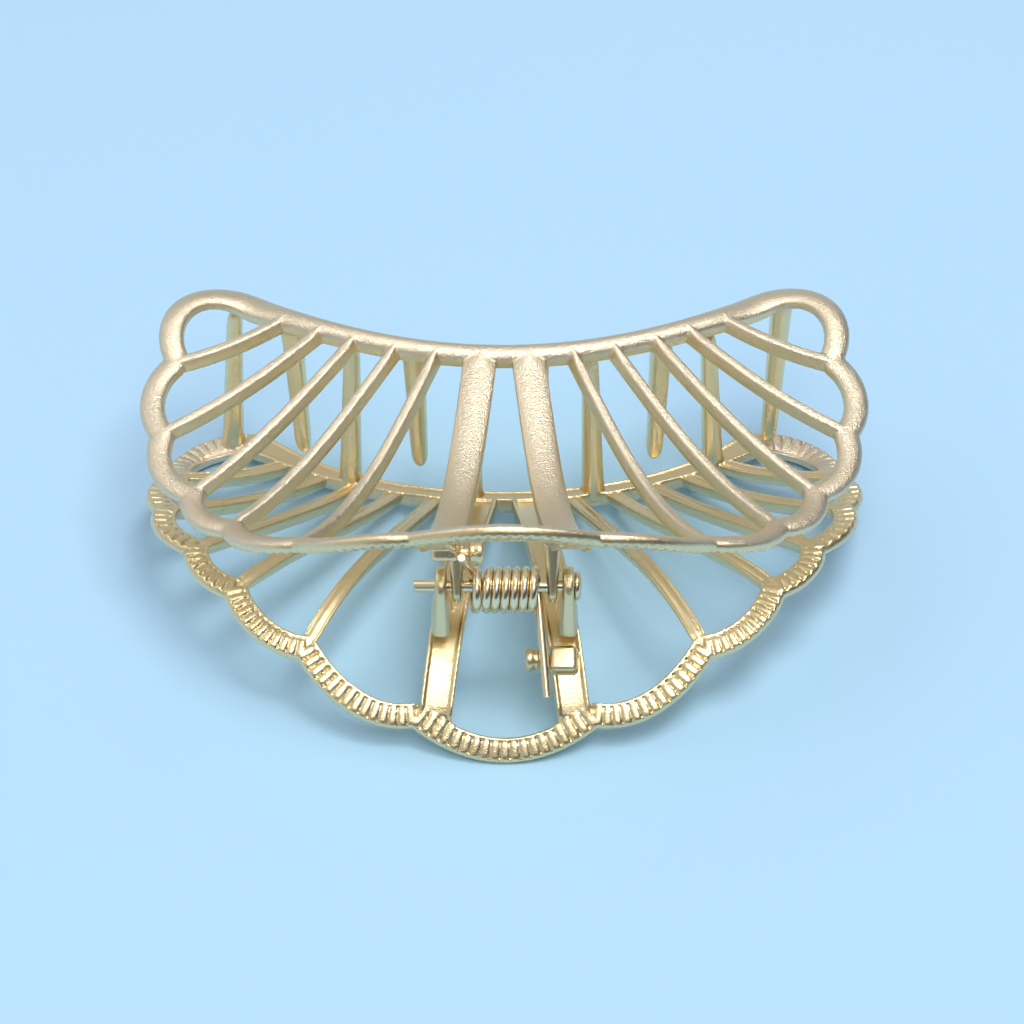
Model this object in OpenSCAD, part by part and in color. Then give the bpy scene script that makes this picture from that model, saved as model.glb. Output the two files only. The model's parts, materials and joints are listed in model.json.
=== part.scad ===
// Seashell claw clip: two pierced cast shells hinged on a pin, held shut by a torsion spring.
// Millimetres. Both shells are drawn about the pin: X to the right, +Y to the teeth, Z across.
// The lower shell is the upper one turned half round about Y. The clip then lies on its lower
// shell: the front lobe and the two end lobes touch the floor at Z = 0.

/* [Casting] */
// Width of a shell over its side lobes
clip_w = 87.2; // [85:0.2:90]
// Width of the scalloped rim
rim_w = 3.0; // [2.6:0.1:3.2]
// Thickness of the scalloped rim
rim_t = 1.6; // [1.5:0.1:2.1]
// Width of the back bar
bar_w = 2.6; // [2.3:0.1:3.0]
// Thickness of the back bar
bar_t = 2.3; // [2.1:0.1:2.8]
// Height of the cast ridges on the rim's inner face
ridge_h = 0.2; // [0.1:0.05:0.3]

/* [Ribs] */
// Width of a thin rib at its foot
rib_w = 1.9; // [1.7:0.1:2.3]
// Width of the flat along a thin rib's top
rib_top = 0.7; // [0.5:0.1:0.9]
// Thickness of a thin rib
rib_t = 1.9; // [1.7:0.1:2.3]
// Width of a broad rib at the back bar
broad_back_w = 3.6; // [3.3:0.1:3.8]
// Width of a broad rib at the front lobe
broad_front_w = 4.3; // [4.0:0.1:4.5]
// Thickness of a broad rib
broad_t = 1.9; // [1.7:0.1:2.1]

/* [Teeth] */
// Number of teeth on each shell
teeth = 5; // [5:1:5]
// Distance from tooth to tooth at their tips
tooth_pitch = 14.3; // [14.1:0.1:14.5]
// Distance from tooth to tooth at their roots
root_pitch = 14.8; // [14.6:0.1:15]
// Shift of the row of teeth to one side, so that the two rows pass each other
tooth_shift = 4.0; // [3.9:0.05:4.1]
// How far below the parting plane a tooth's tip reaches near the middle of the clip
tooth_reach = 8.5; // [6:0.5:8.5]
// How far behind the hinge the teeth would end at the middle of the clip
tooth_back = 32.9; // [32.7:0.1:34]

/* [Hinge] */
// Diameter of the hinge pin
pin_d = 1.5; // [1.4:0.1:1.6]
// Radial running clearance of the pin in its ears
pin_play = 0.05; // [0.03:0.01:0.08]
// Pin's plain end, from the middle of the clip
pin_left = 10.6; // [9:0.2:11]
// Diameter of the pin's head
head_d = 3.5; // [3:0.1:3.8]
// Thickness of the pin's head
head_t = 0.8; // [0.6:0.1:1]
// Middle of an outer ear, from the middle of the clip
outer_ear_x = 7.4; // [7.3:0.05:7.5]
// Thickness of an outer ear
outer_ear_t = 1.4; // [1.2:0.1:1.5]
// Middle of an inner ear, from the middle of the clip
inner_ear_x = 5.55; // [5.5:0.05:5.7]
// Thickness of an inner ear
inner_ear_t = 1.1; // [1.0:0.1:1.3]
// Radius of an outer ear round the pin
outer_ear_r = 2.3; // [2.1:0.1:2.5]
// Radius of an inner ear round the pin
inner_ear_r = 1.9; // [1.7:0.1:2.1]

/* [Spring] */
// Diameter of the spring wire
wire_d = 1.06; // [0.9:0.02:1.08]
// Mean radius of the coil
coil_r = 2.25; // [2.2:0.05:2.3]
// Distance from turn to turn
coil_pitch = 1.07; // [1.06:0.01:1.1]
// How far the coil hangs forward of the pin
coil_slack = 0.7; // [0.4:0.05:0.7]

/* [Hidden] */
gold = [0.82, 0.74, 0.55];
bright_gold = [0.86, 0.75, 0.42];

// Width of the shell as the tables below draw it
drawn_w = 87.2;

// Shell surface: the height of a shell's middle over the parting plane, a saddle that rises to
// the back bar, curls up to the front lobe and falls to the sides
plan_x = 40;
plan_y = 20;
saddle_y = 12;
saddle_z = 6.6;
back_rise = 2.9;
curl = 6.25;
front_gain = 3.9;
side_fall = 2.75;

function shell_z(x, y) =
    let (u = x / plan_x, v = (y - saddle_y) / plan_y)
    saddle_z + back_rise * v + curl * v * v - front_gain * v * v * v - side_fall * u * u;

function unit(v) = v / norm(v);

function shell_up(x, y) =
    let (e = 0.05)
    unit([shell_z(x - e, y) - shell_z(x + e, y), shell_z(x, y - e) - shell_z(x, y + e), 2 * e]);

// Back bar: an arc in plan
bar_y = 29.5;
bar_r = 50;
function bar_at(x) = [x, bar_y + bar_r - sqrt(bar_r * bar_r - x * x)];

// End lobe: an arc that leaves the bar's line and comes round to the first thin rib
end_r = 6.3;
end_from = 127;
end_to = -33;
end_lift = 2.2;
end_widening = 1.1;
end_join = bar_at(-bar_r * cos(end_from));
end_mid = end_join - end_r * [cos(end_from), sin(end_from)];
function end_at(angle) =
    let (share = (angle - end_from) / (end_to - end_from))
    over_shell(end_mid + end_r * [cos(angle), sin(angle)], end_lift * sin(180 * share));

// Joint of each thin rib with the rim, from the back to the front, and the notch by a broad rib
JOINTS = [
    [39.6, 30.9],
    [40.6, 21.0],
    [36.5, 11.8],
    [31.7, 4.9],
    [23.3, -1.9],
    [10.4, -7.6]
];
front_y = -10.2;

// Lobe after each joint: how far it bulges from its chord, and how many ridges it carries
LOBE_BULGE = 0;
LOBE_RIDGES = 1;
LOBES = [
    [1.9, 8],
    [1.9, 8],
    [1.6, 9],
    [1.8, 12],
    [2.0, 14]
];
end_ridges = 8;
front_ridges = 16;
bar_steps = 7;

// Runs of rim overlap at their joints by this much, with their ends a little thinner
join_past = 0.5;
run_end_share = 0.8;
bar_past = 0.3;

// Thin ribs, from the outermost inwards: place on the bar, and how far the rib bows in plan
RIB_BAR_X = 0;
RIB_BOW = 1;
RIBS = [
    [26.2, 1.0],
    [21.8, 1.3],
    [17.7, 0.9],
    [12.8, 0.85],
    [8.0, 0.6]
];
rib_steps = 7;
rib_end_share = 0.7;

// Broad ribs
broad_bar_x = 2.8;
broad_rim = [8.1, -7.7];
broad_bow = 0.3;
broad_dip = 0.7;
broad_steps = 10;

// Feet of the ears along a broad rib, front and back, and how deep their front edge is sunk
INNER_FOOT = [0.5, 6.5];
OUTER_FOOT = [-1.5, 4.5];
foot_sink = 0.3;

// Stud that a spring leg bears on: block, neck and round head on a broad rib's inner face
stud_y = -3.7;
stud_z = 8.1;
stud_tip = 31;
block_x = 6.8;
block_size = [3.0, 2.3, 1.9];
block_up = 0.3;
neck_d = 1.1;
neck_from = 3.4;
stud_head_d = 2.5;
stud_head_t = 0.9;

// Spring: first turn's place at the front, the length of its straight legs, how far they spread
// outwards, and their clearance in front of the studs' necks
first_turn_x = -3.2;
coil_turns = 7;
leg_len = 12.3;
leg_spread = 1.0;
neck_gap = 0.07;

// How far round from the coil's back its legs leave it, to pass just in front of the necks
leg_off = coil_r + (neck_d + wire_d) / 2 + neck_gap;
leg_at = atan2(stud_z, stud_y + coil_slack) - acos(leg_off / norm([stud_y + coil_slack, stud_z]));

// The wire is parted at the back of the coil, so that the upper leg turns with the upper shell
part_to = 345;
part_from = 360;
wire_sides = 6;
turn_steps = 14;

// Rest: the clip is tipped so that it lies on its front lobe and end lobes, then lifted
rest_tip = 5.25;
rest_lift = 16.45;
rest_shift = -15.09;

// A place on the circular arc from a to b that bulges to the right of its chord, at share t
function arc_point(a, b, bulge, t) =
    let (
        chord = b - a,
        half = norm(chord) / 2,
        side = unit([chord[1], -chord[0]]),
        r = (half * half + bulge * bulge) / (2 * bulge),
        mid = (a + b) / 2 - side * (r - bulge),
        angle = asin(half / r) * (2 * t - 1)
    )
    mid + r * (side * cos(angle) + unit(chord) * sin(angle));

function over_shell(p, lift = 0) = [p[0], p[1], shell_z(p[0], p[1]) + lift];

// Sections: [across, up], the outer face up
function rim_section(w, t, ridge) = [
    [-0.44 * w, -0.5 * t - ridge],
    [0.44 * w, -0.5 * t - ridge],
    [0.5 * w, -0.05 * t],
    [0.2 * w, 0.5 * t],
    [-0.2 * w, 0.5 * t],
    [-0.5 * w, -0.05 * t]
];

function rib_section(w, t, top) = [
    [-w / 2, -t / 2],
    [w / 2, -t / 2],
    [w / 2, -0.15 * t],
    [top / 2, t / 2],
    [-top / 2, t / 2],
    [-w / 2, -0.15 * t]
];

function broad_section(w, t) = [
    [-w / 2, -t / 2],
    [w / 2, -t / 2],
    [w / 2, 0],
    [0.32 * w, 0.4 * t],
    [0, t / 2],
    [-0.32 * w, 0.4 * t],
    [-w / 2, 0]
];

// One ring of a sweep: the section set square to its line and to the shell
function ring(at, along, section) =
    let (across = unit(cross(along, shell_up(at[0], at[1]))), up = cross(across, along))
    [for (q = section) at + across * q[0] + up * q[1]];

// Solid between rings of equal length, closed by its two ends
module skin(rings) {
    n = len(rings);
    m = len(rings[0]);
    polyhedron(
        points = [for (r = rings) each r],
        faces = concat(
            [[for (j = [m - 1:-1:0]) j]],
            [[for (j = [0:m - 1]) (n - 1) * m + j]],
            [
                for (i = [0:n - 2], j = [0:m - 1])
                    let (
                        a = i * m + j,
                        b = i * m + (j + 1) % m,
                        c = (i + 1) * m + (j + 1) % m,
                        d = (i + 1) * m + j
                    )
                    each [[a, b, c], [a, c, d]]
            ]
        )
    );
}

// Sweep along line(t), which gives a place on the shell, with section(t), at the given stops
module sweep(stops, line, section) {
    e = 0.001;
    skin([for (t = stops) ring(line(t), unit(line(t + e) - line(t - e)), section(t))]);
}

// A ridged length of rim along line(t), wider at its start: each ridge rises at every second stop
module rim_run(line, ridges, past_end, widening = 0) {
    steps = 2 * ridges;
    stops = concat([-past_end], [for (i = [0:steps]) i / steps], [1 + past_end]);
    share = function(t) t < 0 || t > 1 ? run_end_share : 1;
    ridge = function(t) t > 0 && t < 1 && round(t * steps) % 2 == 1 ? ridge_h : 0;
    width = function(t) rim_w + widening * pow(min(1, 1 - t), 2);
    sweep(stops, line, function(t) rim_section(width(t) * share(t), rim_t * share(t), ridge(t)));
}

module lobe(a, b, bulge, ridges) {
    rim_run(function(t) over_shell(arc_point(a, b, bulge, t)), ridges, join_past / norm(b - a));
}

module end_lobe() {
    line = function(t) end_at(end_from + (end_to - end_from) * t);
    rim_run(line, end_ridges, join_past / end_r / 2, end_widening);
}

module front_lobe() {
    notch = JOINTS[len(JOINTS) - 1];
    lobe([-notch[0], notch[1]], notch, notch[1] - front_y, front_ridges);
}

module bar() {
    reach = end_join[0] + bar_past;
    line = function(t) over_shell(bar_at(reach * t));
    sweep([for (i = [-bar_steps:bar_steps]) i / bar_steps], line, function(t) rim_section(bar_w, bar_t, 0));
}

// A rib's middle line at share t: straight from bar to rim in plan but for its bow
function rib_line(from, to, bow, dip, t) =
    let (
        chord = to - from,
        side = unit([chord[1], -chord[0]]),
        hump = 4 * t * (1 - t)
    )
    over_shell(from + chord * t + side * bow * hump, -dip * hump);

// A rib's ends are thinner, so that they stay inside the bar and the rim
function end_share(t) = t == 0 || t == 1 ? rib_end_share : 1;

module thin_rib(k) {
    from = bar_at(RIBS[k][RIB_BAR_X]);
    sweep(
        [for (i = [0:rib_steps]) i / rib_steps],
        function(t) rib_line(from, JOINTS[k], RIBS[k][RIB_BOW], 0, t),
        function(t) rib_section(rib_w * end_share(t), rib_t * end_share(t), rib_top)
    );
}

module broad_rib() {
    from = bar_at(broad_bar_x);
    width = function(t) broad_back_w + (broad_front_w - broad_back_w) * t;
    sweep(
        [for (i = [0:broad_steps]) i / broad_steps],
        function(t) rib_line(from, broad_rim, broad_bow, broad_dip, t),
        function(t) broad_section(width(t) * end_share(t), broad_t * end_share(t))
    );
}

// A tooth: [share of its length, width], from its root in the bar to its rounded tip
TOOTH_AT = 0;
TOOTH_W = 1;
TOOTH = [
    [0.00, 3.0],
    [0.12, 2.6],
    [0.30, 2.4],
    [0.90, 1.9],
    [0.97, 1.5],
    [1.00, 0.8]
];

// Its section, in widths: flat at the back, with a ridge along its front
TOOTH_SECTION = [[-0.14, -0.45], [0.14, -0.45], [0.5, 0.15], [0.3, 0.42], [-0.3, 0.42], [-0.5, 0.15]];

// The teeth end on a flatter arc than the bar's, and the outermost reach further
tip_r = 75;
outer_reach = 3.4;
function tip_at(x) =
    let (y = tooth_back + tip_r - sqrt(tip_r * tip_r - x * x), gain = outer_reach * pow(x / plan_x, 4))
    [x, y, -tooth_reach - gain];

// Middle of a tooth's root: on the bar, or beyond it on the back of the end lobe
function tooth_root(x) =
    abs(x) < end_join[0]
        ? over_shell(bar_at(x))
        : let (at = end_at(acos((abs(x) - end_mid[0]) / end_r))) [x, at[1], at[2]];

// Tooth number k, counted from the middle one
module tooth(k) {
    root = tooth_root(tooth_shift + root_pitch * k);
    tip = tip_at(tooth_shift + tooth_pitch * k);
    skin([
        for (s = TOOTH)
            let (at = root + (tip - root) * s[TOOTH_AT], w = s[TOOTH_W])
            [
                for (q = TOOTH_SECTION)
                    at + [q[0] * w, q[1] * w, 0]
            ]
    ]);
}

module tooth_row() {
    for (k = [0:teeth - 1])
        tooth(k - (teeth - 1) / 2);
}

// Pierced casting without its hinge, drawn to the clip's width
module pierced_shell() {
    scale(clip_w / drawn_w)
        union() {
            bar();
            front_lobe();
            for (side = [0, 1])
                mirror([side, 0, 0]) {
                    end_lobe();
                    for (k = [0:len(LOBES) - 1])
                        lobe(JOINTS[k + 1], JOINTS[k], LOBES[k][LOBE_BULGE], LOBES[k][LOBE_RIDGES]);
                    for (k = [0:len(RIBS) - 1])
                        thin_rib(k);
                    broad_rib();
                }
            tooth_row();
        }
}

// An ear hangs from a broad rib's inner face down to the pin
module ear(x, thickness, radius, foot) {
    translate([x, 0, 0])
        rotate([90, 0, 90])
            linear_extrude(thickness, center = true)
                union() {
                    circle(r = radius, $fn = 48);
                    polygon([
                        [-radius, 0],
                        [radius, 0],
                        [foot[1], shell_z(x, foot[1]) - broad_dip],
                        [foot[0], shell_z(x, foot[0]) - foot_sink]
                    ]);
                }
}

module stud() {
    translate([0, stud_y, stud_z]) {
        rotate([-stud_tip, 0, 0])
            translate([-block_x, 0, block_up])
                cube(block_size, center = true);
        translate([-block_x, 0, 0])
            rotate([0, 90, 0])
                cylinder(d = neck_d, h = block_x - neck_from + stud_head_t / 2, $fn = 32);
        translate([-neck_from, 0, 0])
            rotate([0, 90, 0])
                cylinder(d = stud_head_d, h = stud_head_t, $fn = 32);
    }
}

// A whole half with ears of the given place, thickness, radius and foot, bored for the pin
module half(ear_x, ear_t, ear_r, foot) {
    difference() {
        union() {
            pierced_shell();
            for (side = [-1, 1])
                ear(side * ear_x, ear_t, ear_r, foot);
            stud();
        }
        for (side = [-1, 1])
            translate([side * ear_x, 0, 0])
                rotate([0, 90, 0])
                    cylinder(d = pin_d + 2 * pin_play, h = 2 * ear_t, center = true, $fn = 48);
    }
}

// Lays the closed clip on the floor
module at_rest() {
    translate([0, rest_shift, rest_lift])
        rotate([-rest_tip, 0, 0])
            children();
}

module upper_half() {
    color(gold)
        at_rest()
            half(inner_ear_x, inner_ear_t, inner_ear_r, INNER_FOOT);
}

module lower_half() {
    color(gold)
        at_rest()
            rotate([0, 180, 0])
                half(outer_ear_x, outer_ear_t, outer_ear_r, OUTER_FOOT);
}

module hinge_pin() {
    head_x = outer_ear_x + outer_ear_t / 2 + pin_play;
    color(bright_gold)
        at_rest()
            union() {
                translate([-pin_left, 0, 0])
                    rotate([0, 90, 0])
                        cylinder(d = pin_d, h = pin_left + head_x + head_t / 2, $fn = 48);
                translate([head_x, 0, 0])
                    rotate([0, 90, 0])
                        cylinder(d = head_d, h = head_t, $fn = 48);
            }
}

// Wire: a ring of points round a place on its line
function wire_ring(at, along, out) =
    let (side = unit(cross(along, out)), up = cross(side, along))
    [
        for (k = [0:wire_sides - 1])
            let (a = 360 * (k + 0.5) / wire_sides)
            at + wire_d / 2 * (side * cos(a) + up * sin(a))
    ];

// A place on the coil at angle a: 0 is the back, and the wire runs down there as a grows
function coil_out(a) = [0, cos(a), -sin(a)];
function coil_along(a) = [0, -sin(a), -cos(a)];
function coil_at(x, a) = [x, -coil_slack, 0] + coil_r * coil_out(a);

// Axial place of the wire: a helix, but level where the first two turns lie side by side, so that
// the first one can turn with the upper leg
function first_turn(a) = first_turn_x + coil_pitch * min(0, a - 180) / 360;
function later_turns(a) = first_turn_x + coil_pitch * (1 + max(0, a - 540) / 360);
coil_end = 360 * coil_turns + leg_at;

// Ring at the end of a straight leg that leaves the coil at angle a
function leg_ring(x, a, way) =
    wire_ring(
        coil_at(x, a) + way * (leg_len * coil_along(a) + [leg_spread, 0, 0]),
        coil_along(a),
        coil_out(a)
    );

function coil_rings(from, to, lane) =
    let (steps = ceil((to - from) / 360 * turn_steps))
    [
        for (i = [0:steps])
            let (a = from + (to - from) * i / steps)
            wire_ring(coil_at(lane(a), a), coil_along(a), coil_out(a))
    ];

module spring() {
    color(bright_gold)
        at_rest()
            skin(concat(
                coil_rings(part_from, coil_end, function(a) later_turns(a)),
                [leg_ring(later_turns(coil_end), coil_end, 1)]
            ));
}

module spring_upper_leg() {
    color(bright_gold)
        at_rest()
            skin(concat(
                [leg_ring(first_turn(-leg_at), -leg_at, -1)],
                coil_rings(-leg_at, part_to, function(a) first_turn(a))
            ));
}

lower_half();
upper_half();
hinge_pin();
spring();
spring_upper_leg();
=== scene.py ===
"""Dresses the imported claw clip: two satin cast halves, a wound wire spring and its pin, on a floor."""
import json
import math

import bpy
from mathutils import Matrix, Vector


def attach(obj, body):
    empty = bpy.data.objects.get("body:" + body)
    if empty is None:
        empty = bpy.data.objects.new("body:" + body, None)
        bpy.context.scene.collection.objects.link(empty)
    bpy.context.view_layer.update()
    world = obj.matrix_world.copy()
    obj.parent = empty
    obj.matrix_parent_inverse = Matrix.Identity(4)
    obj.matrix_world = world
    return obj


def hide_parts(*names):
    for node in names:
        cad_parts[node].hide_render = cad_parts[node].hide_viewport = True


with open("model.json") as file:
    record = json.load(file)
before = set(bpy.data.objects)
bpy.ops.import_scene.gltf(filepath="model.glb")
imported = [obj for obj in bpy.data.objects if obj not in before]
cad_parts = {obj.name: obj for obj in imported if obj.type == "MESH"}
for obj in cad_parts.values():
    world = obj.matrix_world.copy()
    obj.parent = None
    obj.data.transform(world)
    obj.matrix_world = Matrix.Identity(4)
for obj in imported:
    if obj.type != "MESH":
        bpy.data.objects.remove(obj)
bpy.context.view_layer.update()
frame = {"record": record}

# Sizes are in millimetres about the hinge pin, and become metres when a piece is laid at rest
MM = 0.001
PIN_PLACE = Vector(frame["record"]["behaviour"]["joints"][0]["pos_m"])
REST_TIP = 5.25

# Shell surface, as in the solids
PLAN_X = 40
PLAN_Y = 20
SADDLE_Y = 12
SADDLE_Z = 6.6
BACK_RISE = 2.9
CURL = 6.25
FRONT_GAIN = 3.9
SIDE_FALL = 2.75

# Steps over which a slope of the shell and the direction of a line are taken
SLOPE_STEP = 0.05
LINE_STEP = 0.001

# Back bar and end lobes
BAR_Y = 29.5
BAR_R = 50
END_R = 6.3
END_FROM = 127
END_TO = -33
END_LIFT = 2.2
END_WIDENING = 1.1

# Joints of rim and ribs, from the back to the front
JOINTS = [(39.6, 30.9), (40.6, 21.0), (36.5, 11.8), (31.7, 4.9), (23.3, -1.9), (10.4, -7.6)]
FRONT_Y = -10.2
LOBES = [
    {"bulge": 1.9, "ridges": 8},
    {"bulge": 1.9, "ridges": 8},
    {"bulge": 1.6, "ridges": 9},
    {"bulge": 1.8, "ridges": 12},
    {"bulge": 2.0, "ridges": 14},
]
END_RIDGES = 15
FRONT_RIDGES = 19
FRONT_BARE = 0.19
RIBS = [
    {"bar_x": 26.2, "bow": 1.0},
    {"bar_x": 21.8, "bow": 1.3},
    {"bar_x": 17.7, "bow": 0.9},
    {"bar_x": 12.8, "bow": 0.85},
    {"bar_x": 8.0, "bow": 0.6},
]
BROAD_BAR_X = 2.8
BROAD_RIM = (8.1, -7.7)
BROAD_BOW = 0.3
BROAD_DIP = 0.7
BROAD_BACK_W = 4.0
BROAD_FRONT_W = 3.9

# Fineness of the castings: the width of a remeshing cell, how far that is evened out, the triangles
# kept, and the steps of a bevel
CELL = 0.12
EVENING = {"factor": 0.5, "iterations": 2}
KEPT_TRIANGLES = 190000
BEVEL_STEPS = 4

# Inner finish of a casting: how far outside its middle surface it starts, and how quickly it changes
INSIDE_START = 0.05
INSIDE_RATE = 2


def shell_z(x, y):
    """Height of a half's middle over the parting plane."""
    u = x / PLAN_X
    v = (y - SADDLE_Y) / PLAN_Y
    return SADDLE_Z + BACK_RISE * v + CURL * v * v - FRONT_GAIN * v ** 3 - SIDE_FALL * u * u


def shell_up(x, y):
    """Direction square to the shell, away from the other half."""
    e = SLOPE_STEP
    slope_x = shell_z(x + e, y) - shell_z(x - e, y)
    slope_y = shell_z(x, y + e) - shell_z(x, y - e)
    return Vector((-slope_x, -slope_y, 2 * e)).normalized()


def over_shell(x, y, lift=0.0):
    return Vector((x, y, shell_z(x, y) + lift))


def bar_y(x):
    return BAR_Y + BAR_R - math.sqrt(BAR_R ** 2 - x * x)


END_JOIN_X = -BAR_R * math.cos(math.radians(END_FROM))
END_MID = (
    END_JOIN_X - END_R * math.cos(math.radians(END_FROM)),
    bar_y(END_JOIN_X) - END_R * math.sin(math.radians(END_FROM)),
)


def end_at(angle):
    """Place on the end lobe at an angle in degrees round its centre."""
    share = (angle - END_FROM) / (END_TO - END_FROM)
    a = math.radians(angle)
    lift = END_LIFT * math.sin(math.pi * share)
    return over_shell(END_MID[0] + END_R * math.cos(a), END_MID[1] + END_R * math.sin(a), lift)


def arc_line(a, b, bulge):
    """Arc over the shell from a to b that bulges to the right of its chord."""
    a = Vector(a)
    b = Vector(b)
    chord = b - a
    half = chord.length / 2
    side = Vector((chord.y, -chord.x)).normalized()
    r = (half * half + bulge * bulge) / (2 * bulge)
    middle = (a + b) / 2 - side * (r - bulge)
    sweep = math.asin(half / r)

    def line(t):
        angle = sweep * (2 * t - 1)
        p = middle + r * (side * math.cos(angle) + chord.normalized() * math.sin(angle))
        return over_shell(p.x, p.y)

    return line


def rib_line(start, end, bow, dip=0.0):
    """A rib's middle line from the bar to the rim."""
    start = Vector(start)
    end = Vector(end)
    chord = end - start
    side = Vector((chord.y, -chord.x)).normalized()

    def line(t):
        hump = 4 * t * (1 - t)
        p = start + chord * t + side * bow * hump
        return over_shell(p.x, p.y, -dip * hump)

    return line


def line_length(line, steps=24):
    places = [line(i / steps) for i in range(steps + 1)]
    return sum((b - a).length for a, b in zip(places, places[1:]))


def deselect():
    bpy.ops.object.select_all(action="DESELECT")


def select(*pieces):
    deselect()
    for piece in pieces:
        piece.select_set(True)
    bpy.context.view_layer.objects.active = pieces[0]


def put(name, data):
    """A new object in the scene for a mesh, curve, light or camera."""
    thing = bpy.data.objects.new(name, data)
    bpy.context.collection.objects.link(thing)
    return thing


def apply_modifier(piece, kind, **settings):
    select(piece)
    modifier = piece.modifiers.new(kind.lower(), kind)
    for key, value in settings.items():
        setattr(modifier, key, value)
    bpy.ops.object.modifier_apply(modifier=modifier.name)


def smooth(piece, angle):
    select(piece)
    bpy.ops.object.shade_smooth_by_angle(angle=math.radians(angle))


def loft(name, rings):
    """Closed solid through rings of points."""
    n = len(rings[0])
    faces = [list(range(n - 1, -1, -1)), list(range((len(rings) - 1) * n, len(rings) * n))]
    for i in range(len(rings) - 1):
        for j in range(n):
            k = (j + 1) % n
            faces.append([i * n + j, i * n + k, (i + 1) * n + k, (i + 1) * n + j])
    mesh = bpy.data.meshes.new(name)
    mesh.from_pydata([p for ring in rings for p in ring], [], faces)
    return put(name, mesh)


def frame_at(line, t):
    """Place on a line over the shell, and its directions across, along and up."""
    at = line(t)
    along = (line(t + LINE_STEP) - line(t - LINE_STEP)).normalized()
    across = along.cross(shell_up(at.x, at.y)).normalized()
    return at, across, along, across.cross(along)


def section_ring(line, t, section):
    """A section of [across, up] points set square to a line over the shell."""
    at, across, along, up = frame_at(line, t)
    return [at + across * a + up * h for a, h in section]


def half_round(w, low, high, full=1.0, steps=14):
    """Rounded outer face from the right edge over the top to the left edge."""
    points = []
    for i in range(steps + 1):
        a = math.pi * i / steps
        points.append((w / 2 * math.cos(a), low + (high - low) * math.sin(a) ** full))
    return points


def eased(value):
    """Smooth step from 0 to 1."""
    t = min(1, max(0, value))
    return t * t * (3 - 2 * t)


def shrink(section, share):
    return [(a * share, h * share) for a, h in section]


# Rim: a smooth rounded outer face; inside, a flat bed between a border along the hole and a fine edge
RIM_W = 3.0
RIM_TOP = 0.8
RIM_SIDE = -0.1
RIM_BED = -0.56
RIM_BED_IN = 0.6
RIM_BED_OUT = 0.62
RIM_BORDER = [(0.02, -0.40), (0.05, -0.74), (0.12, -0.86), (0.40, -0.86), (0.50, -0.70)]
RIM_EDGE = [(-0.50, -0.60), (-0.43, -0.75), (-0.27, -0.75), (-0.08, -0.46)]
RIM_STEPS = 44
RIM_PAST = 0.5
RIM_END_SHARE = 0.85

# Ridge: a rounded bar that lies across the bed, from the border to the edge
RIDGE_H = 0.42
RIDGE_IN = -0.99
RIDGE_OUT = 1.28
RIDGE_LONG_IN = -1.6
RIDGE_FLAT = 0.86
RIDGE_BEVEL = 0.28


def rim_section(w, border=1.0):
    """Section of the rim, with its border along the hole at a share of its height."""
    e = w / 2
    inner = []
    for a, h in RIM_BORDER:
        inner.append((a - e, RIM_BED + (h - RIM_BED) * border if h < RIM_BED else h))
    bed = [(RIM_BED_IN - e, RIM_BED), (0, RIM_BED), (e - RIM_BED_OUT, RIM_BED)]
    outer = [(e + a, h) for a, h in RIM_EDGE]
    return half_round(w, RIM_SIDE, RIM_TOP) + inner + bed + outer


def ridge_bar():
    """The ridge that is copied along the rims: one millimetre wide and long, half of it buried."""
    deselect()
    bpy.ops.mesh.primitive_cube_add(size=1)
    bar = bpy.context.object
    bar.name = "ridge"
    apply_modifier(bar, "BEVEL", width=RIDGE_BEVEL, segments=BEVEL_STEPS)
    return bar


def laid_ridge(bar, line, t, pitch, half_width, long_in):
    """A copy of the ridge across the rim at t; a long one starts further in."""
    at, across, along, up = frame_at(line, t)
    spread = half_width - RIM_W / 2
    start = (RIDGE_LONG_IN if long_in else RIDGE_IN) - spread
    length = RIDGE_OUT + spread - start
    middle = at + across * (start + length / 2) + up * RIM_BED
    edges = (across * length, along * pitch * RIDGE_FLAT, up * 2 * RIDGE_H)
    axes = Matrix(edges).transposed().to_4x4()
    mesh = bar.data.copy()
    mesh.transform(Matrix.Translation(middle) @ axes)
    return put("ridge", mesh)


def rim_run(name, bar, line, ridges, bare=0.0):
    """A lobe of the rim and its ridges; within the share bare of its ends a broad rib meets it."""
    beyond = RIM_PAST / line_length(line)

    def under_rib(t):
        return bare > 0 and not bare < t < 1 - bare

    end = shrink(rim_section(RIM_W, 0.0 if bare else 1.0), RIM_END_SHARE)
    rings = [section_ring(line, -beyond, end)]
    for i in range(RIM_STEPS + 1):
        t = i / RIM_STEPS
        rings.append(section_ring(line, t, rim_section(RIM_W, 0.0 if under_rib(t) else 1.0)))
    rings.append(section_ring(line, 1 + beyond, end))
    pitch = line_length(line) / ridges
    pieces = [loft(name, rings)]
    for i in range(ridges):
        t = (i + 0.5) / ridges
        pieces.append(laid_ridge(bar, line, t, pitch, RIM_W / 2, under_rib(t)))
    return pieces


# Bar: broad and rounded outside, with two fine borders inside; it widens towards the end lobes
BAR_W = 2.6
BAR_SIDE = -0.1
BAR_TOP = 1.15
BAR_FULLNESS = 0.85
BAR_SECTION = half_round(BAR_W, BAR_SIDE, BAR_TOP, BAR_FULLNESS) + [
    (-1.28, -0.70), (-1.22, -1.00), (-1.10, -1.12), (-0.92, -1.10), (-0.80, -0.86),
    (-0.40, -0.86), (0, -0.86), (0.40, -0.86),
    (0.80, -0.86), (0.92, -1.10), (1.12, -1.12), (1.25, -0.90),
]
BAR_PLAIN = 17
BAR_WIDENING = 0.36
BAR_THINNING = 0.14

# Back edge: an end lobe of the rim that runs on into the bar, as one smooth length
END_LOBE_LENGTH = 18.6
BLEND_FROM = -6.0
BLEND_TO = 4.0
EASE_OVER = 1.6
PAST_MIDDLE = 0.4


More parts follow.
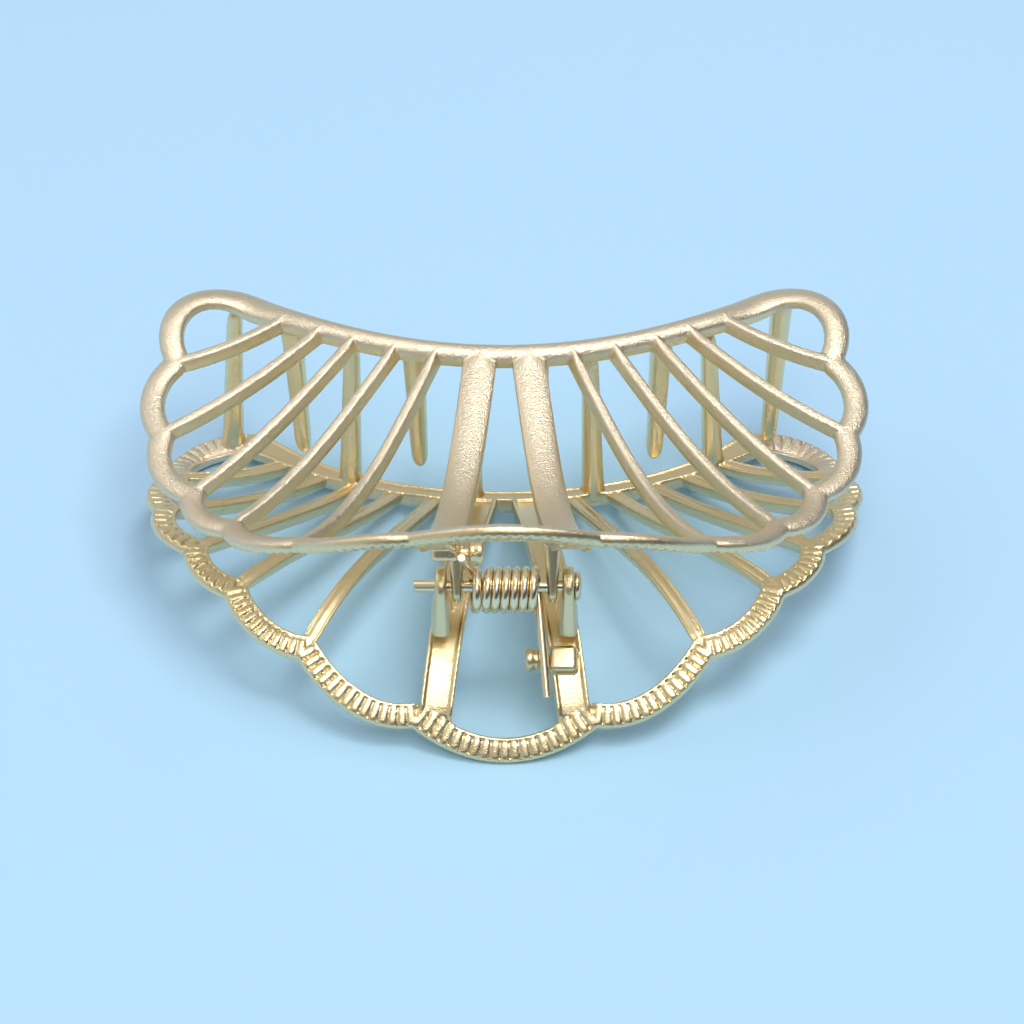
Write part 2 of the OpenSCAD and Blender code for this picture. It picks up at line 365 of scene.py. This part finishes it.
def bar_section(x):
    swell = max(0, (x - BAR_PLAIN) / (END_JOIN_X - BAR_PLAIN)) ** 2
    wide = 1 + BAR_WIDENING * swell
    thin = 1 - BAR_THINNING * swell
    return [(a * wide, h * thin) for a, h in BAR_SECTION]


def end_width(share):
    return RIM_W + END_WIDENING * share ** 2


def back_edge(bar, steps=110):
    """The right half of the back edge, from its notch round the end lobe and along the bar."""
    length = END_LOBE_LENGTH + END_JOIN_X + PAST_MIDDLE

    def raw(d):
        if d < 0:
            return end_at(END_FROM - d / END_LOBE_LENGTH * (END_TO - END_FROM))
        return over_shell(END_JOIN_X - d, bar_y(END_JOIN_X - d))

    def line(t):
        d = length * t - END_LOBE_LENGTH
        places = [raw(d + EASE_OVER * k / 2) for k in (-2, -1, 0, 1, 2)]
        return sum(places, Vector()) / len(places)

    rings = []
    for i in range(steps + 1):
        d = length * i / steps - END_LOBE_LENGTH
        share = min(1, 1 + d / END_LOBE_LENGTH)
        blend = eased((d - BLEND_FROM) / (BLEND_TO - BLEND_FROM))
        both = zip(rim_section(end_width(share)), bar_section(END_JOIN_X - max(0, d)))
        section = [(a + (c - a) * blend, h + (g - h) * blend) for (a, h), (c, g) in both]
        rings.append(section_ring(line, i / steps, section))
    pieces = [loft("back_edge", rings)]
    pitch = END_LOBE_LENGTH / END_RIDGES
    for i in range(END_RIDGES):
        share = (i + 0.5) / END_RIDGES
        t = share * END_LOBE_LENGTH / length
        pieces.append(laid_ridge(bar, line, t, pitch, end_width(share) / 2, False))
    return pieces


# Thin rib: a narrow rounded ridge outside; inside, a rounded middle between fine borders
RIB_RIDGE = 0.36
RIB_TOP = 0.82
RIB_TIP_TOP = 1.11
RIB_TIP = 0.10
RIB_TIP_NARROWING = 0.8
RIB_EDGE = [(0.94, -0.60), (0.90, -0.20)]
RIB_SHOULDER = (0.20, 0.16)
RIB_INSIDE = [
    (-0.94, -0.60), (-0.90, -0.88), (-0.80, -0.93), (-0.68, -0.90), (-0.58, -0.68), (-0.35, -0.84),
    (0, -0.92), (0.35, -0.84), (0.58, -0.68), (0.68, -0.90), (0.80, -0.93), (0.90, -0.88),
]

# It slims to this share of its section as it runs into the rim
RIB_END = 1.02
RIB_END_RATE = 12
RIB_END_SHARE = 0.72
RIB_END_GAIN = 0.28


def rib_section(t):
    """Section of a thin rib: its ridge rises to a point where it laps the bar."""
    tip = eased(1 - t / RIB_TIP)
    ridge = RIB_RIDGE * (1 - RIB_TIP_NARROWING * tip)
    top = RIB_TOP + (RIB_TIP_TOP - RIB_TOP) * tip
    side = RIB_EDGE + [(ridge + RIB_SHOULDER[0], top - RIB_SHOULDER[1]), (ridge, top)]
    left = [(-a, h) for a, h in reversed(side[1:])]
    share = RIB_END_SHARE + RIB_END_GAIN * eased((RIB_END - t) * RIB_END_RATE)
    return shrink(side + left + RIB_INSIDE, share)


# Broad rib: its crown grows to a ridge at its tip, and it sinks into the rim at its end
BROAD_TOP = 1.0
BROAD_DROP = 0.42
BROAD_ROUNDING = 2.4
BROAD_TIP = 0.07
BROAD_TIP_TOP = 1.17
BROAD_TIP_DROP = 0.5
BROAD_TIP_SHARPENING = 1.2
BROAD_END = 1.03
BROAD_SINK_FROM = 0.99
BROAD_SINK_OVER = 0.02
BROAD_SINK_TOP = 0.3
BROAD_SINK_FLOOR = 0.6

# Its inner side: a floor that is deeper in front, and a border [in from the edge, over its crest]
BROAD_FLOOR = -0.60
BROAD_FLOOR_FRONT = -0.92
BROAD_FLOOR_FROM = 0.7
BROAD_FLOOR_OVER = 0.2
BROAD_FLOOR_IN = 0.50
BROAD_CREST = 0.36
BROAD_CREST_LOSS = 0.12
BROAD_BORDER = [(0.01, 0.3), (0.03, 0.06), (0.10, 0), (0.42, 0)]


def crown(e, top, drop, power, side=-0.1, steps=14):
    """Outer face that falls away from its middle to its two edges."""
    points = [(e, side)]
    for i in range(steps + 1):
        share = math.cos(math.pi * i / steps)
        points.append((e * share, top - drop * abs(share) ** power))
    return points + [(-e, side)]


def broad_section(t):
    """Section of a broad rib: a low crown outside; inside, a sunk floor between two borders."""
    w = BROAD_BACK_W + (BROAD_FRONT_W - BROAD_BACK_W) * t
    e = w / 2
    tip = eased(1 - t / BROAD_TIP)
    end = eased((t - BROAD_SINK_FROM) / BROAD_SINK_OVER)
    deep = eased((t - BROAD_FLOOR_FROM) / BROAD_FLOOR_OVER)
    top = BROAD_TOP + (BROAD_TIP_TOP - BROAD_TOP) * tip - BROAD_SINK_TOP * end
    bed = BROAD_FLOOR + (BROAD_FLOOR_FRONT - BROAD_FLOOR) * deep + BROAD_SINK_FLOOR * end
    crest = bed - BROAD_CREST + BROAD_CREST_LOSS * deep + BROAD_CREST * end
    drop = BROAD_DROP + BROAD_TIP_DROP * tip
    outer = crown(e, top, drop, BROAD_ROUNDING - BROAD_TIP_SHARPENING * tip)
    left = [(-e + a, crest + h) for a, h in BROAD_BORDER]
    middle = [(-e + BROAD_FLOOR_IN, bed), (-0.5, bed), (0.5, bed), (e - BROAD_FLOOR_IN, bed)]
    right = [(e - a, crest + h) for a, h in reversed(BROAD_BORDER)]
    return outer + left + middle + right


def mirrored(piece):
    """The piece's mirror image across the clip's middle, its faces turned outwards again."""
    mesh = piece.data.copy()
    mesh.transform(Matrix.Scale(-1, 4, Vector((1, 0, 0))))
    mesh.flip_normals()
    return put(piece.name + "_mirrored", mesh)


def rim_pieces():
    bar = ridge_bar()
    pieces = back_edge(bar)
    for k, lobe in enumerate(LOBES):
        line = arc_line(JOINTS[k + 1], JOINTS[k], lobe["bulge"])
        pieces += rim_run(f"lobe_{k}", bar, line, lobe["ridges"])
    pieces += [mirrored(p) for p in pieces]
    notch = JOINTS[-1]
    front = arc_line((-notch[0], notch[1]), notch, notch[1] - FRONT_Y)
    pieces += rim_run("front_lobe", bar, front, FRONT_RIDGES, bare=FRONT_BARE)
    bpy.data.objects.remove(bar)
    return pieces


def thin_rib(k, steps=40):
    bar_x = RIBS[k]["bar_x"]
    line = rib_line((bar_x, bar_y(bar_x)), JOINTS[k], RIBS[k]["bow"])
    stops = [i / steps for i in range(steps + 1)]
    return loft(f"rib_{k}", [section_ring(line, t, rib_section(t)) for t in stops])


def broad_rib(steps=60):
    line = rib_line((BROAD_BAR_X, bar_y(BROAD_BAR_X)), BROAD_RIM, BROAD_BOW, BROAD_DIP)
    stops = [BROAD_END * i / steps for i in range(steps + 1)]
    return loft("broad_rib", [section_ring(line, t, broad_section(t)) for t in stops])


def grown(outline, stops):
    """Closed piece that starts as a flat outline and is extruded from stop to stop.

    An outline is a list of [x, y] places; a stop is its middle and its scale across x and y."""
    deselect()
    bpy.ops.mesh.primitive_circle_add(vertices=len(outline), radius=1, fill_type="NGON")
    piece = bpy.context.object
    middle, x_scale, y_scale = stops[0]
    for vertex, (x, y) in zip(piece.data.vertices, outline):
        vertex.co = (middle[0] + x * x_scale, middle[1] + y * y_scale, middle[2])
    bpy.ops.object.mode_set(mode="EDIT")
    bpy.ops.mesh.select_all(action="SELECT")
    for before, after in zip(stops, stops[1:]):
        step = Vector(after[0]) - Vector(before[0])
        bpy.ops.mesh.extrude_region_move(TRANSFORM_OT_translate={"value": step})
        taper = (after[1] / before[1], after[2] / before[2], 1)
        bpy.ops.transform.resize(value=taper, center_override=after[0])
    bpy.ops.mesh.select_all(action="SELECT")
    bpy.ops.mesh.normals_make_consistent(inside=False)
    bpy.ops.object.mode_set(mode="OBJECT")
    return piece


# Teeth: tapered, with a ridge down the side that faces the hinge, and a rounded tip
TEETH = 5
TOOTH_PITCH = 14.3
ROOT_PITCH = 14.8
TOOTH_SHIFT = 4.0
TOOTH_REACH = 8.5
TOOTH_BACK = 32.9
TIP_R = 75
OUTER_REACH = 3.4
TOOTH_STOPS = [
    (0.0, 3.3), (0.04, 3.1), (0.09, 2.94), (0.15, 2.84), (0.3, 2.7), (0.6, 2.48), (0.88, 2.22),
    (0.93, 2.1), (0.965, 1.86), (0.988, 1.42), (1.0, 0.9),
]
TOOTH_SIDE = [(0.06, -0.43), (0.30, -0.27), (0.46, -0.02), (0.48, 0.18), (0.38, 0.34), (0.2, 0.39)]


def tip_at(x):
    y = TOOTH_BACK + TIP_R - math.sqrt(TIP_R ** 2 - x * x)
    return Vector((x, y, -TOOTH_REACH - OUTER_REACH * (x / PLAN_X) ** 4))


def tooth_model():
    """A tooth one millimetre long, pointing down, that is stretched to each place."""
    outline = TOOTH_SIDE + [(-x, y) for x, y in reversed(TOOTH_SIDE)]
    return grown(outline, [((0, 0, -share), w, w) for share, w in TOOTH_STOPS])


def teeth():
    model = tooth_model()
    pieces = []
    for k in range(TEETH):
        place = k - (TEETH - 1) / 2
        x = TOOTH_SHIFT + ROOT_PITCH * place
        if abs(x) < END_JOIN_X:
            root = over_shell(x, bar_y(x))
        else:
            root = end_at(math.degrees(math.acos((abs(x) - END_MID[0]) / END_R)))
            root.x = x
        down = root - tip_at(TOOTH_SHIFT + TOOTH_PITCH * place)
        stretch = Matrix(((1, 0, down.x), (0, 1, down.y), (0, 0, down.z))).to_4x4()
        mesh = model.data.copy()
        mesh.transform(Matrix.Translation(root) @ stretch @ Matrix.Rotation(-x / BAR_R, 4, "Z"))
        pieces.append(put("tooth", mesh))
    bpy.data.objects.remove(model)
    return pieces


# Ears: flat cheeks that hang from the broad ribs to the pin, thinner towards their round end
INNER_EAR = {"x": 5.55, "r": 1.9, "foot": (0.5, 6.5), "thick": (2.3, 1.18, 0.9)}
OUTER_EAR = {"x": 7.4, "r": 2.3, "foot": (-2.7, 4.5), "thick": (2.4, 1.48, 1.3)}
EAR_CORNER = 4
EAR_POINTS = 28
EAR_STEPS = 8
EAR_SPREAD = 0.85
EAR_SINK = 0.2
EAR_ROUND_TO = 84
EAR_END_THINNING = 0.4
EAR_END_POWER = 5


def ear_outline():
    """Level outline of an ear: a box with rounded corners, one millimetre across."""
    outline = []
    for i in range(EAR_POINTS):
        a = 2 * math.pi * i / EAR_POINTS
        x = math.copysign(abs(math.cos(a)) ** (2 / EAR_CORNER), math.cos(a)) / 2
        y = math.copysign(abs(math.sin(a)) ** (2 / EAR_CORNER), math.sin(a)) / 2
        outline.append((x, y))
    return outline


def ear(shape):
    """An ear of the right side, from its foot on the rib down to its round end."""
    x = shape["x"]
    r = shape["r"]
    foot_front, foot_back = shape["foot"]
    foot_z = min(shell_z(x, foot_back) - BROAD_DIP, shell_z(x, foot_front)) - EAR_SINK
    thick_foot, thick_pin, thick_end = shape["thick"]
    stops = []
    for i in range(EAR_STEPS + 1):
        share = i / EAR_STEPS
        front = foot_front + (-r - foot_front) * share
        back = foot_back + (r - foot_back) * share
        thick = thick_foot + (thick_pin - thick_foot) * share ** EAR_SPREAD
        stops.append(((x, (front + back) / 2, foot_z * (1 - share)), thick, back - front))
    for i in range(1, EAR_STEPS + 1):
        a = math.radians(EAR_ROUND_TO) * i / EAR_STEPS
        thick = thick_pin + (thick_end - thick_pin) * i / EAR_STEPS
        thick *= 1 - EAR_END_THINNING * (i / EAR_STEPS) ** EAR_END_POWER
        stops.append(((x, 0, -r * math.sin(a)), thick, 2 * r * math.cos(a)))
    return grown(ear_outline(), stops)


# Stud: a pillow-shaped block, a neck and a domed head that holds the spring's leg
STUD_AT = Vector((0, -3.7, 8.1))
STUD_TIP = 31
BLOCK_X = 6.8
BLOCK_SIZE = (3.3, 3.15, 2.4)
BLOCK_UP = 0.3
BLOCK_BEVEL = 0.62
NECK_D = 1.1
NECK_FROM = 2.9
NECK_BEVEL = 0.02
HEAD_D = 2.7
HEAD_T = 1.1
HEAD_BEVEL = 0.42
COLLAR_AT = 3.72
COLLAR_D = 2.3
COLLAR_T = 0.56
COLLAR_BEVEL = 0.2
STUD_POINTS = 40


def turned(x, diameter, length, bevel):
    """A round length of the stud, with its middle at x."""
    deselect()
    bpy.ops.mesh.primitive_cylinder_add(vertices=STUD_POINTS, radius=diameter / 2, depth=length)
    piece = bpy.context.object
    apply_modifier(piece, "BEVEL", width=bevel, segments=BEVEL_STEPS, limit_method="ANGLE")
    lie = Matrix.Rotation(math.radians(90), 4, "Y")
    piece.data.transform(Matrix.Translation(STUD_AT - Vector((x, 0, 0))) @ lie)
    return piece


def stud():
    deselect()
    bpy.ops.mesh.primitive_cube_add(size=1)
    block = bpy.context.object
    tip = Matrix.Rotation(-math.radians(STUD_TIP), 4, "X")
    block.data.transform(Matrix.Diagonal((*BLOCK_SIZE, 1)))
    apply_modifier(block, "BEVEL", width=BLOCK_BEVEL, segments=BEVEL_STEPS + 1)
    aside = Matrix.Translation((-BLOCK_X, 0, BLOCK_UP))
    block.data.transform(Matrix.Translation(STUD_AT) @ tip @ aside)
    neck = turned((BLOCK_X + NECK_FROM) / 2, NECK_D, BLOCK_X - NECK_FROM, NECK_BEVEL)
    collar = turned(COLLAR_AT, COLLAR_D, COLLAR_T, COLLAR_BEVEL)
    head = turned(NECK_FROM, HEAD_D, HEAD_T, HEAD_BEVEL)
    return [block, neck, collar, head]


def at_rest(over=False):
    """Lays a piece that is drawn about the pin, in millimetres, where the closed clip lies."""
    tip = Matrix.Rotation(-math.radians(REST_TIP), 4, "X")
    lay = Matrix.Translation(PIN_PLACE) @ tip @ Matrix.Scale(MM, 4)
    return lay @ Matrix.Rotation(math.pi, 4, "Y") if over else lay


def casting(name, ear_shape, over):
    """One half: its lengths are joined, run together as in a mould, and thinned to what they need."""
    parts = rim_pieces()
    ribs = [thin_rib(k) for k in range(len(RIBS))] + [broad_rib()]
    parts += ribs + [mirrored(rib) for rib in ribs]
    cheek = ear(ear_shape)
    parts += teeth() + [cheek, mirrored(cheek)] + stud()
    select(*parts)
    bpy.ops.object.join()
    half = bpy.context.object
    half.name = name
    half.data.name = name
    half.data.transform(half.matrix_world)
    half.matrix_world = Matrix.Identity(4)
    apply_modifier(half, "REMESH", mode="VOXEL", voxel_size=CELL, adaptivity=0.0)
    apply_modifier(half, "SMOOTH", **EVENING)
    triangles = 2 * len(half.data.polygons)
    if triangles > KEPT_TRIANGLES:
        apply_modifier(half, "DECIMATE", ratio=KEPT_TRIANGLES / triangles)
    inside = half.data.attributes.new("inside", "FLOAT", "POINT")
    for vertex, value in zip(half.data.vertices, inside.data):
        x, y, z = vertex.co
        depth = shell_z(x, y) - z + INSIDE_START
        value.value = min(1, max(0, 0.5 + depth * INSIDE_RATE))
    half.data.transform(at_rest(over))
    select(half)
    bpy.ops.object.shade_smooth()
    return half


# Spring: the coil hangs forward on the pin, and its straight legs bear on the studs
WIRE_D = 1.06
WIRE_FINENESS = 5
WIRE_END = 0.12
WIRE_END_SHARE = 0.8
COIL_R = 2.25
COIL_PITCH = 1.07
COIL_SLACK = 0.7
COIL_TURNS = 7
FIRST_TURN_X = -3.2
LEG_LEN = 12.3
LEG_SPREAD = 1.0
NECK_GAP = 0.07
PART_TO = 345
PART_FROM = 360
TURN_STEPS = 48

# How far round from the coil's back its legs leave it, to pass just in front of the necks
TO_STUD = Vector((STUD_AT.y + COIL_SLACK, STUD_AT.z))
LEG_OFF = COIL_R + (NECK_D + WIRE_D) / 2 + NECK_GAP
LEG_AT = math.degrees(math.atan2(TO_STUD.y, TO_STUD.x) - math.acos(LEG_OFF / TO_STUD.length))
COIL_END = 360 * COIL_TURNS + LEG_AT


def coil_at(x, angle):
    """A place on the coil: 0 is the back, and the wire runs down there as the angle grows."""
    a = math.radians(angle)
    return Vector((x, -COIL_SLACK + COIL_R * math.cos(a), -COIL_R * math.sin(a)))


def coil_along(angle):
    a = math.radians(angle)
    return Vector((0, -math.sin(a), -math.cos(a)))


def first_turn(angle):
    """Place across the clip on the first turn, which runs level up to where the wire is parted."""
    return FIRST_TURN_X + COIL_PITCH * min(0, angle - 180) / 360


def later_turns(angle):
    """Place across the clip on the other turns, which start level and then wind on."""
    return FIRST_TURN_X + COIL_PITCH * (1 + max(0, angle - 540) / 360)


def coil_places(start, end, lane):
    """Places along the coil between two angles, in the lane that gives how far across they lie."""
    steps = math.ceil((end - start) / 360 * TURN_STEPS)
    angles = [start + (end - start) * i / steps for i in range(steps + 1)]
    return [coil_at(lane(a), a) for a in angles]


def leg_places(x, angle, way, steps=12):
    """Places along a straight leg that leaves the coil and spreads outwards a little."""
    reach = coil_along(angle) * LEG_LEN + Vector((LEG_SPREAD, 0, 0))
    return [coil_at(x, angle) + way * reach * i / steps for i in range(1, steps + 1)]


def wire(name, places):
    """Round wire along a line of places, with lightly broken ends."""
    curve = bpy.data.curves.new(name, "CURVE")
    curve.dimensions = "3D"
    curve.bevel_depth = WIRE_D / 2
    curve.bevel_resolution = WIRE_FINENESS
    curve.use_fill_caps = True
    start = places[0] + (places[0] - places[1]).normalized() * WIRE_END
    end = places[-1] + (places[-1] - places[-2]).normalized() * WIRE_END
    stops = [start] + places + [end]
    spline = curve.splines.new("POLY")
    spline.points.add(len(stops) - 1)
    for point, place in zip(spline.points, stops):
        point.co = (*place, 1)
    spline.points[0].radius = WIRE_END_SHARE
    spline.points[-1].radius = WIRE_END_SHARE
    select(put(name, curve))
    bpy.ops.object.convert(target="MESH")
    piece = bpy.context.object
    piece.data.transform(at_rest())
    smooth(piece, angle=40)
    return piece


def spring_wires():
    coil = coil_places(PART_FROM, COIL_END, later_turns)
    coil += leg_places(later_turns(COIL_END), COIL_END, 1)
    leg = list(reversed(leg_places(first_turn(-LEG_AT), -LEG_AT, -1)))
    leg += coil_places(-LEG_AT, PART_TO, first_turn)
    return wire("wound_spring", coil), wire("spring_leg", leg)


# Pin: [distance from the middle, radius] stops along its outline, from its plain end to its head
PIN_STOPS = [
    (-10.6, 0.60), (-10.54, 0.69), (-10.42, 0.75), (8.149, 0.75), (8.15, 1.55), (8.20, 1.68),
    (8.32, 1.74), (8.50, 1.72), (8.68, 1.60), (8.83, 1.30), (8.92, 0.85), (8.95, 0.2),
]
PIN_POINTS = 64


def pin_piece():
    turn = 2 * math.pi / PIN_POINTS
    outline = [(math.cos(i * turn), math.sin(i * turn)) for i in range(PIN_POINTS)]
    piece = grown(outline, [((0, 0, x), r, r) for x, r in PIN_STOPS])
    piece.name = "rivet_pin"
    piece.data.name = "rivet_pin"
    piece.data.transform(at_rest() @ Matrix.Rotation(math.radians(90), 4, "Y"))
    smooth(piece, angle=50)
    return piece


class Value:
    """A shader socket that takes part in Python arithmetic."""

    def __init__(self, shader, socket):
        self.shader = shader
        self.socket = socket

    def maths(self, operation, a, b):
        return self.shader.node("ShaderNodeMath", {"operation": operation}, {0: a, 1: b})

    def __add__(self, other):
        return self.maths("ADD", self, other)

    def __radd__(self, other):
        return self.maths("ADD", other, self)

    def __sub__(self, other):
        return self.maths("SUBTRACT", self, other)

    def __rsub__(self, other):
        return self.maths("SUBTRACT", other, self)

    def __mul__(self, other):
        return self.maths("MULTIPLY", self, other)

    def __rmul__(self, other):
        return self.maths("MULTIPLY", other, self)


# Places of a colour mix's sockets
MIX_SHARE = 0
MIX_A = 6
MIX_B = 7
MIX_RESULT = 2


class Shader:
    """The nodes of a material or of the surroundings, made by one method."""

    def __init__(self, owner):
        owner.use_nodes = True
        self.tree = owner.node_tree
        nodes = self.tree.nodes
        self.surface = nodes["Principled BSDF" if "Principled BSDF" in nodes else "Background"]

    def node(self, kind, settings=None, inputs=None, output=0):
        made = self.tree.nodes.new(kind)
        for key, value in (settings or {}).items():
            setattr(made, key, value)
        for key, value in (inputs or {}).items():
            self.feed(made.inputs[key], value)
        return Value(self, made.outputs[output])

    def feed(self, socket, value):
        if isinstance(value, Value):
            self.tree.links.new(value.socket, socket)
        else:
            socket.default_value = value

    def set(self, **sockets):
        for name, value in sockets.items():
            self.feed(self.surface.inputs[name.replace("_", " ")], value)

    def place(self):
        return self.node("ShaderNodeTexCoord", output="Object")

    def noise(self, scale, detail=3.0, roughness=0.6):
        inputs = {"Vector": self.place(), "Scale": scale, "Detail": detail, "Roughness": roughness}
        return self.node("ShaderNodeTexNoise", None, inputs)

    def attribute(self, name):
        return self.node("ShaderNodeAttribute", {"attribute_name": name}, output="Fac")

    def mix(self, share, a, b):
        inputs = {MIX_SHARE: share, MIX_A: a, MIX_B: b}
        return self.node("ShaderNodeMix", {"data_type": "RGBA"}, inputs, MIX_RESULT)

    def bump(self, height, strength, distance):
        inputs = {"Height": height, "Strength": strength, "Distance": distance}
        return self.node("ShaderNodeBump", None, inputs)

    def step(self, value, start, end, low=0.0, high=1.0):
        """A smooth step from low to high while the value goes from start to end."""
        inputs = {"Value": value, "From Min": start, "From Max": end, "To Min": low, "To Max": high}
        return self.node("ShaderNodeMapRange", {"interpolation_type": "SMOOTHSTEP"}, inputs)

    def reach(self, direction, axis):
        """How far a direction leans along an axis."""
        inputs = {0: direction, 1: axis}
        return self.node("ShaderNodeVectorMath", {"operation": "DOT_PRODUCT"}, inputs, "Value")


# Colours are linear
SATIN_GOLD = (0.89, 0.765, 0.585, 1)
SATIN_WARM = (0.84, 0.705, 0.50, 1)
POLISHED_GOLD = (0.885, 0.705, 0.39, 1)
WIRE_GOLD = (0.93, 0.775, 0.47, 1)
PIN_METAL = (0.78, 0.69, 0.52, 1)
FLOOR_BLUE = (0.455, 0.70, 0.94, 1)
FLOOR_PALE = (0.475, 0.72, 0.95, 1)
# Painted bounce light: the floor colour within a few centimetres of the clip is painted lighter and
# greener, as if lit by the gold
FLOOR_PAINTED_BOUNCE = (0.485, 0.765, 0.975, 1)
FLOOR_PAINTED_BOUNCE_REACH = (0.02, 0.05)
ROOM_COLOUR = (0.95, 0.98, 1.0, 1)

# Satin plating: its roughness, its grain, and how its inner side and its cloudy patches differ
SATIN_ROUGHNESS = 0.32
GRAIN_DEPTH = 0.00016
GRAIN_SHARE = 0.6
PITS_SHARE = 0.4
CLOUD_ROUGHNESS = 0.10
INSIDE_SHINE = 0.04
INSIDE_COLOUR = 0.8
INSIDE_EVENNESS = 0.6

# Drawn wire and pin
DRAWN_DEPTH = 0.00002
DRAWN_ROUGHNESS = 0.12


def satin_casting():
    """Light gold plating over a finely pitted casting, more polished on its inner faces."""
    material = bpy.data.materials.new("satin_casting")
    shader = Shader(material)
    inside = shader.attribute("inside")
    grain = shader.noise(5600, detail=2.0)
    pits = shader.noise(2400, detail=2.0)
    cloud = shader.noise(90, roughness=0.5)
    satin = shader.mix(cloud, SATIN_GOLD, SATIN_WARM)
    height = (grain * GRAIN_SHARE + pits * PITS_SHARE) * (1 - inside * INSIDE_EVENNESS)
    shader.set(
        Base_Color=shader.mix(inside * INSIDE_COLOUR, satin, POLISHED_GOLD),
        Metallic=1.0,
        Roughness=SATIN_ROUGHNESS - inside * INSIDE_SHINE + (cloud - 0.5) * CLOUD_ROUGHNESS,
        Normal=shader.bump(height, strength=1.0, distance=GRAIN_DEPTH),
    )
    return material


def drawn_metal(name, colour, marked, scale, roughness, strength):
    """Plated round stock with faint marks from drawing."""
    material = bpy.data.materials.new(name)
    shader = Shader(material)
    marks = shader.noise(scale)
    shader.set(
        Base_Color=shader.mix(marks, colour, marked),
        Metallic=1.0,
        Roughness=roughness + marks * DRAWN_ROUGHNESS,
        Normal=shader.bump(marks, strength, DRAWN_DEPTH),
    )
    return material


def bright_wire():
    """Golden wire of the spring, a little marked from winding too."""
    gold = {"colour": WIRE_GOLD, "marked": SATIN_GOLD}
    return drawn_metal("bright_wire", **gold, scale=1500, roughness=0.15, strength=0.15)


def pin_metal():
    """Paler steel of the pin."""
    steel = {"colour": PIN_METAL, "marked": WIRE_GOLD}
    return drawn_metal("pin_metal", **steel, scale=1200, roughness=0.12, strength=0.12)


def floor_paper_and_painted_bounce():
    """Matt pale blue paper, with painted bounce light: it is painted lighter and greener round the clip.
    """
    material = bpy.data.materials.new("floor_paper_and_painted_bounce")
    shader = Shader(material)
    cloud = shader.noise(6, detail=2.0, roughness=0.5)
    away = shader.node("ShaderNodeVectorMath", {"operation": "LENGTH"}, {0: shader.place()}, "Value")
    # Painted bounce light: full within 2 cm of the middle, gone beyond 5 cm
    painted_bounce = shader.step(away, *FLOOR_PAINTED_BOUNCE_REACH, low=1.0, high=0.0)
    paper = shader.mix(cloud, FLOOR_BLUE, FLOOR_PALE)
    shader.set(Base_Color=shader.mix(painted_bounce, paper, FLOOR_PAINTED_BOUNCE), Roughness=0.9)
    return material


def wear(piece, material):
    piece.data.materials.clear()
    piece.data.materials.append(material)


def dress():
    casting_material = satin_casting()
    lower = casting("lower_casting", OUTER_EAR, True)
    upper = casting("upper_casting", INNER_EAR, False)
    wear(lower, casting_material)
    wear(upper, casting_material)
    coil, leg = spring_wires()
    wire_material = bright_wire()
    wear(coil, wire_material)
    wear(leg, wire_material)
    pin = pin_piece()
    wear(pin, pin_metal())
    for piece, body, node in (
        (lower, "lower", "lower_half"),
        (upper, "upper", "upper_half"),
        (coil, "lower", "spring"),
        (leg, "upper", "spring_upper_leg"),
        (pin, "lower", "hinge_pin"),
    ):
        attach(piece, body)
        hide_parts(node)


# Room: how bright it is, and how much darker low down towards one side
ROOM_BRIGHT = 0.54
ROOM_DIMMING = 0.46
DARK_SIDE = (0.85, -0.53, 0)
DARK_ASIDE = (-0.25, 0.35)
DARK_BELOW = (0.70, 0.42)
UPWARDS = (0, 0, 1)
FLOOR_SIDE = 3.0

# Lamps, all of which look at the clip
LAMPS = [
    {"name": "key", "place": (0.20, -0.10, 0.97), "size": 0.44, "power": 4.2},
    {"name": "front", "place": (0.05, -0.49, 0.87), "size": 0.44, "power": 1.8},
    {"name": "window", "place": (-0.62, 0.20, 0.72), "size": 0.8, "power": 1.0},
]


def floor():
    deselect()
    bpy.ops.mesh.primitive_plane_add(size=FLOOR_SIDE)
    sheet = bpy.context.object
    sheet.name = "floor"
    sheet.data.materials.append(floor_paper_and_painted_bounce())


def soft_light(name, place, size, power):
    light = bpy.data.lights.new(name, "AREA")
    light.shape = "DISK"
    light.size = size
    light.energy = power
    lamp = put(name, light)
    lamp.location = place
    lamp.rotation_euler = (-Vector(place)).to_track_quat("-Z", "Y").to_euler()


def room():
    """Pale surroundings, dark low down in front and on the right."""
    world = bpy.data.worlds.new("room")
    shader = Shader(world)
    direction = shader.node("ShaderNodeTexCoord")
    side = shader.step(shader.reach(direction, DARK_SIDE), *DARK_ASIDE)
    low = shader.step(shader.reach(direction, UPWARDS), *DARK_BELOW)
    shader.set(Color=ROOM_COLOUR, Strength=ROOM_BRIGHT - side * low * ROOM_DIMMING)
    bpy.context.scene.world = world


def lights():
    for lamp in LAMPS:
        soft_light(**lamp)
    room()
    bpy.context.scene.view_settings.view_transform = "Standard"


# Camera: where the photograph was taken from, with the pin at its place in the 1024 pixel frame
FRAME_PX = 1024
PIN_PX = (504.5, 586)
CAMERA_DISTANCE = 0.534
CAMERA_ELEVATION = 45.0
PX_PER_MM = 8.62
SENSOR = 36
NEAREST = 0.01


def camera():
    focal_px = PX_PER_MM * CAMERA_DISTANCE / MM
    e = math.radians(CAMERA_ELEVATION)
    away = Vector((0, -math.cos(e), math.sin(e)))
    right = Vector((1, 0, 0))
    up = right.cross(-away)
    aside = (PIN_PX[0] - FRAME_PX / 2) / focal_px
    above = (FRAME_PX / 2 - PIN_PX[1]) / focal_px
    look = (-away - right * aside - up * above).normalized()
    data = bpy.data.cameras.new("camera")
    data.sensor_width = SENSOR
    data.lens = SENSOR * focal_px / FRAME_PX
    data.clip_start = NEAREST
    eye = put("camera", data)
    eye.location = PIN_PLACE + away * CAMERA_DISTANCE
    eye.rotation_euler = look.to_track_quat("-Z", "Y").to_euler()
    bpy.context.scene.camera = eye


camera()
dress()
floor()
lights()
